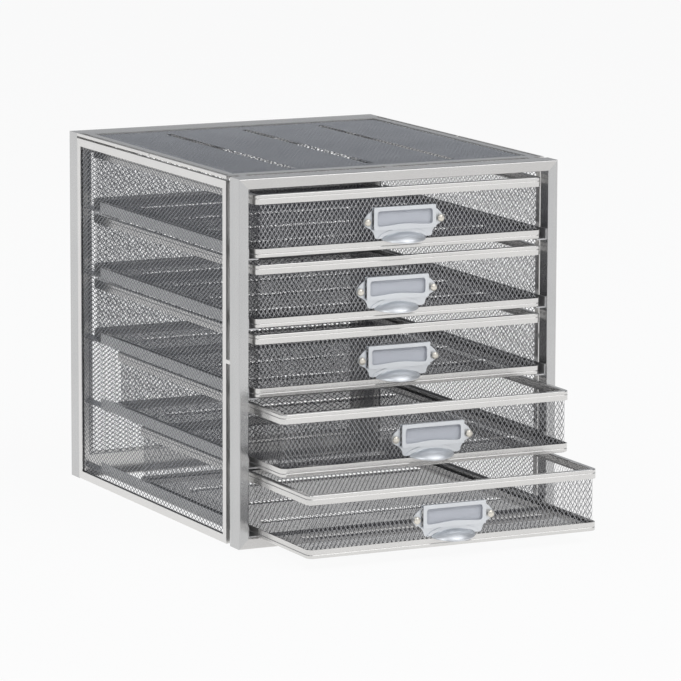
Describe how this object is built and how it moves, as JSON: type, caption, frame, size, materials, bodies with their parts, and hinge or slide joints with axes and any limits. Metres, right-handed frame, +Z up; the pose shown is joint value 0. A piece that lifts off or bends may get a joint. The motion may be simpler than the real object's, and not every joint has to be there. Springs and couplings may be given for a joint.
{
  "type": "desktop mini drawers",
  "caption": "Desktop cabinet of steel mesh with sliding mesh drawers, each with a label holder and a cup pull.",
  "frame": {"origin": "centre of the part's bounding box at desk level, with the two lowest drawers part open as in the picture", "axes": "+X to the right seen from the front, +Y from the drawer fronts to the back, +Z up"},
  "size_m": [0.264, 0.4172, 0.275],
  "materials": {
    "frame_steel": "silver lacquer, satin",
    "panel_rim": "silver lacquer, satin",
    "cabinet_mesh": "silver-grey lacquer on expanded metal",
    "runner_steel": "silver lacquer, satin",
    "drawer_rim": "silver lacquer, satin",
    "drawer_mesh": "silver-grey lacquer on expanded metal",
    "pull_plate": "satin nickel plate",
    "rivet": "pale nickel-plated, domed",
    "card": "matt, bare"
  },
  "bodies": {
    "cabinet": {"front_bottom_rail": "frame_steel", "front_top_rail": "frame_steel", "front_left_stile": "frame_steel", "front_right_stile": "frame_steel", "rear_bottom_rail": "frame_steel", "rear_top_rail": "frame_steel", "rear_left_stile": "frame_steel", "rear_right_stile": "frame_steel", "left_side_rim": "panel_rim", "right_side_rim": "panel_rim", "left_side_mesh": "cabinet_mesh", "right_side_mesh": "cabinet_mesh", "top_rim": "panel_rim", "top_mesh": "cabinet_mesh", "back_rim": "panel_rim", "back_mesh": "cabinet_mesh", "runner_1_left": "runner_steel", "runner_1_right": "runner_steel", "runner_2_left": "runner_steel", "runner_2_right": "runner_steel", "runner_3_left": "runner_steel", "runner_3_right": "runner_steel", "runner_4_left": "runner_steel", "runner_4_right": "runner_steel", "runner_5_left": "runner_steel", "runner_5_right": "runner_steel"},
    "drawer_1": {"drawer_1_basket": "drawer_mesh", "drawer_1_top_rim": "drawer_rim", "drawer_1_bottom_rim": "drawer_rim", "drawer_1_pull": "pull_plate", "drawer_1_rivets": "rivet", "drawer_1_label_card": "card"},
    "drawer_2": {"drawer_2_basket": "drawer_mesh", "drawer_2_top_rim": "drawer_rim", "drawer_2_bottom_rim": "drawer_rim", "drawer_2_pull": "pull_plate", "drawer_2_rivets": "rivet", "drawer_2_label_card": "card"},
    "drawer_3": {"drawer_3_basket": "drawer_mesh", "drawer_3_top_rim": "drawer_rim", "drawer_3_bottom_rim": "drawer_rim", "drawer_3_pull": "pull_plate", "drawer_3_rivets": "rivet", "drawer_3_label_card": "card"},
    "drawer_4": {"drawer_4_basket": "drawer_mesh", "drawer_4_top_rim": "drawer_rim", "drawer_4_bottom_rim": "drawer_rim", "drawer_4_pull": "pull_plate", "drawer_4_rivets": "rivet", "drawer_4_label_card": "card"},
    "drawer_5": {"drawer_5_basket": "drawer_mesh", "drawer_5_top_rim": "drawer_rim", "drawer_5_bottom_rim": "drawer_rim", "drawer_5_pull": "pull_plate", "drawer_5_rivets": "rivet", "drawer_5_label_card": "card"}
  },
  "joints": [
    {"name": "drawer_1_slide", "type": "slide", "parent": "cabinet", "child": "drawer_1", "axis": [0, -1, 0], "range_m": [0, 0.225]},
    {"name": "drawer_2_slide", "type": "slide", "parent": "cabinet", "child": "drawer_2", "axis": [0, -1, 0], "range_m": [0, 0.225]},
    {"name": "drawer_3_slide", "type": "slide", "parent": "cabinet", "child": "drawer_3", "axis": [0, -1, 0], "range_m": [0, 0.225]},
    {"name": "drawer_4_slide", "type": "slide", "parent": "cabinet", "child": "drawer_4", "axis": [0, -1, 0], "range_m": [-0.046, 0.179]},
    {"name": "drawer_5_slide", "type": "slide", "parent": "cabinet", "child": "drawer_5", "axis": [0, -1, 0], "range_m": [-0.09, 0.135]}
  ]
}
